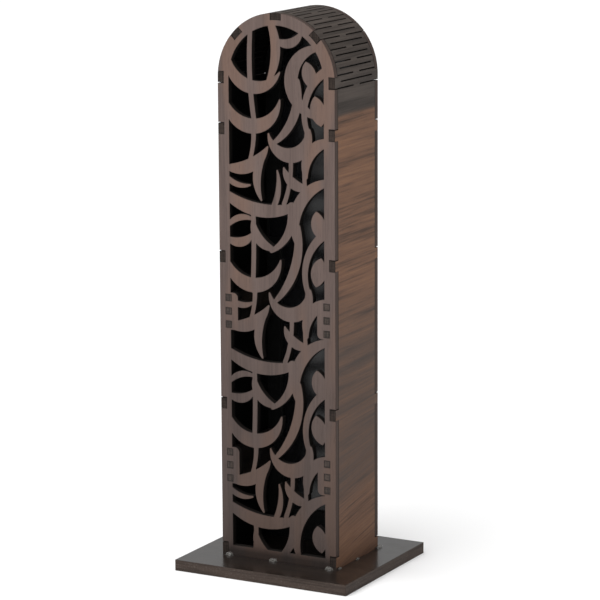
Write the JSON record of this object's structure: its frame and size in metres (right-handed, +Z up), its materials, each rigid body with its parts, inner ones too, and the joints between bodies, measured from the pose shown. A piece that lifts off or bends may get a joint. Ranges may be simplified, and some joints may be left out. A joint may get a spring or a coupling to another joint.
{
  "type": "standing mezuzah case",
  "caption": "Tall free-standing wooden case, pierced scrollwork front, round kerf-bent top, rear door and wide flat base.",
  "frame": {"origin": "middle of the underside of the base plate", "axes": "+Z up through the height of the case; -Y towards the pierced front, +X to the right seen from the front"},
  "size_m": [0.0896, 0.0796, 0.2597],
  "materials": {
    "walnut_board": "satin lacquered dark veneer board, straight fine grain",
    "side_board": "warm brown veneer board, fine streaked grain, satin",
    "base_board": "dark board, smooth glossy lacquered top, sawn edges",
    "rib_board": "board with scorched cut edges",
    "black_gloss": "polished black sheet",
    "brass": "satin brass",
    "magnet_nickel": "nickel plated",
    "clear_glue": "clear dried glue"
  },
  "bodies": {
    "case": {"base_plate": "base_board", "front_panel": "walnut_board", "back_panel": "walnut_board", "bent_side_strip": "side_board", "stop_block": "rib_board", "frame_magnet": "magnet_nickel", "rib_left_lower": "rib_board", "rib_right_lower": "rib_board", "hinge_lower_frame_leaf": "brass", "hinge_lower_pin": "brass", "hinge_lower_frame_screw_bottom": "brass", "hinge_lower_frame_screw_top": "brass", "rib_left_upper": "rib_board", "rib_right_upper": "rib_board", "hinge_upper_frame_leaf": "brass", "hinge_upper_pin": "brass", "hinge_upper_frame_screw_bottom": "brass", "hinge_upper_frame_screw_top": "brass", "glue_bead_1": "clear_glue", "glue_bead_2": "clear_glue", "glue_bead_3": "clear_glue", "glue_bead_4": "clear_glue", "glue_bead_5": "clear_glue", "glue_bead_6": "clear_glue"},
    "door": {"back_door": "walnut_board", "door_lining": "black_gloss", "door_magnet": "magnet_nickel", "door_knob": "brass", "knob_screw": "brass", "hinge_lower_door_leaf": "brass", "hinge_lower_door_screw_bottom": "brass", "hinge_lower_door_screw_top": "brass", "hinge_upper_door_leaf": "brass", "hinge_upper_door_screw_bottom": "brass", "hinge_upper_door_screw_top": "brass"}
  },
  "joints": [
    {"name": "door_hinge", "type": "hinge", "parent": "case", "child": "door", "pos_m": [0.0198, 0.0224, 0.14], "axis": [0, 0, -1], "range_deg": [0, 115]}
  ]
}
